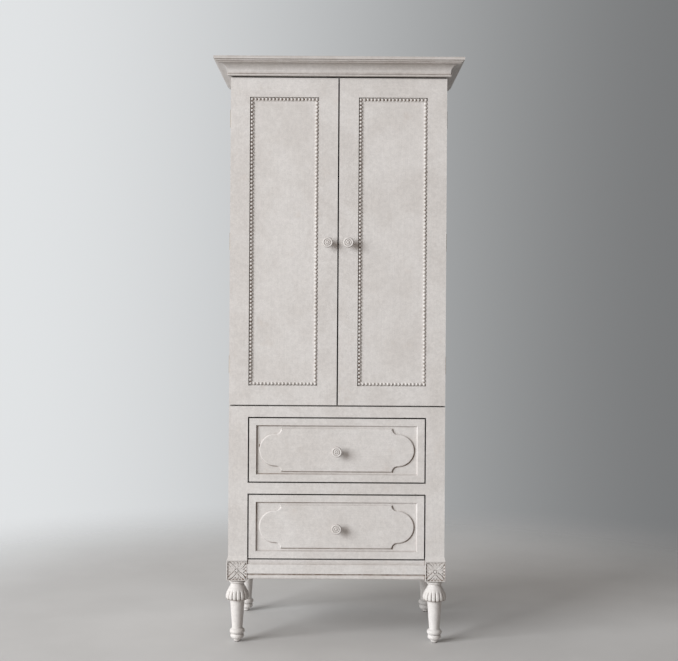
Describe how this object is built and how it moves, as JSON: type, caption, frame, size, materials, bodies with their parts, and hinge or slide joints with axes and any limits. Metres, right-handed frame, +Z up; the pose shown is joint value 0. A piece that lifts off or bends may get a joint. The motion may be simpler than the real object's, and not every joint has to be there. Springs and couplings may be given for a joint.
{
  "type": "armoire",
  "caption": "Tall painted armoire with panelled, bead-trimmed double doors over full-width drawers, a flared cornice, carved corner blocks and turned legs.",
  "frame": {"origin": "on the floor, under the middle of the overall box", "axes": "+Z up; the front faces -Y; +X to the right of someone facing the front"},
  "size_m": [0.864, 0.559, 2.032],
  "materials": {
    "antique_paint": "antiqued warm grey-white paint over wood, faintly brushed, brown glaze in the recesses, worn edges",
    "drawer_birch": "clear satin lacquer on solid birch",
    "back_plywood": "clear matt lacquer on plywood",
    "slide_steel": "zinc plated, satin",
    "rail_chrome": "polished chrome",
    "hinge_brass": "aged antique brass",
    "catch_plastic": "moulded brown plastic with a steel-faced magnet"
  },
  "bodies": {
    "case": {"side_stiles": "antique_paint", "side_rails": "antique_paint", "side_panels": "antique_paint", "back_panel": "back_plywood", "back_rails": "antique_paint", "top_board": "antique_paint", "cabinet_floor": "antique_paint", "base_board": "back_plywood", "apron_front": "antique_paint", "side_aprons": "antique_paint", "stile_left": "antique_paint", "stile_right": "antique_paint", "upper_rail": "antique_paint", "middle_rail": "antique_paint", "cornice_front": "antique_paint", "cornice_left": "antique_paint", "cornice_right": "antique_paint", "cornice_top": "antique_paint", "leg_front_left": "antique_paint", "leg_front_right": "antique_paint", "leg_back_left": "antique_paint", "leg_back_right": "antique_paint", "rosettes": "antique_paint", "slide_packers": "drawer_birch", "slide_outer_members": "slide_steel", "hat_shelf": "antique_paint", "shelf_pins": "slide_steel", "hanging_rail": "rail_chrome", "rail_sockets": "rail_chrome", "door_catches": "catch_plastic", "case_hinge_leaves": "hinge_brass", "hinge_pins": "hinge_brass"},
    "door_left": {"door_left_stiles": "antique_paint", "door_left_rails": "antique_paint", "door_left_panel": "antique_paint", "door_left_beading": "antique_paint", "door_left_knob": "antique_paint", "door_left_hinge_leaves": "hinge_brass", "door_left_strike": "slide_steel"},
    "door_right": {"door_right_stiles": "antique_paint", "door_right_rails": "antique_paint", "door_right_panel": "antique_paint", "door_right_beading": "antique_paint", "door_right_knob": "antique_paint", "door_right_hinge_leaves": "hinge_brass", "door_right_strike": "slide_steel"},
    "drawer_upper": {"drawer_upper_front": "antique_paint", "drawer_upper_sides": "drawer_birch", "drawer_upper_ends": "drawer_birch", "drawer_upper_bottom": "back_plywood", "drawer_upper_knob": "antique_paint", "drawer_upper_slides": "slide_steel"},
    "drawer_lower": {"drawer_lower_front": "antique_paint", "drawer_lower_sides": "drawer_birch", "drawer_lower_ends": "drawer_birch", "drawer_lower_bottom": "back_plywood", "drawer_lower_knob": "antique_paint", "drawer_lower_slides": "slide_steel"},
    "slide_carriage_upper": {"slide_middle_upper": "slide_steel"},
    "slide_carriage_lower": {"slide_middle_lower": "slide_steel"}
  },
  "joints": [
    {"name": "door_left_hinge", "type": "hinge", "parent": "case", "child": "door_left", "pos_m": [-0.3763, -0.201, 1.3985], "axis": [0, 0, -1], "range_deg": [0, 120]},
    {"name": "door_right_hinge", "type": "hinge", "parent": "case", "child": "door_right", "pos_m": [0.3763, -0.201, 1.3985], "axis": [0, 0, 1], "range_deg": [0, 120]},
    {"name": "drawer_upper_slide", "type": "slide", "parent": "case", "child": "drawer_upper", "axis": [0, -1, 0], "range_m": [0, 0.4]},
    {"name": "drawer_lower_slide", "type": "slide", "parent": "case", "child": "drawer_lower", "axis": [0, -1, 0], "range_m": [0, 0.4]},
    {"name": "carriage_upper_slide", "type": "slide", "parent": "case", "child": "slide_carriage_upper", "axis": [0, -1, 0], "range_m": [0, 0.2]},
    {"name": "carriage_lower_slide", "type": "slide", "parent": "case", "child": "slide_carriage_lower", "axis": [0, -1, 0], "range_m": [0, 0.2]}
  ],
  "couplings": [
    {"joint": "carriage_upper_slide", "follows": "drawer_upper_slide", "ratio": 0.5},
    {"joint": "carriage_lower_slide", "follows": "drawer_lower_slide", "ratio": 0.5}
  ]
}
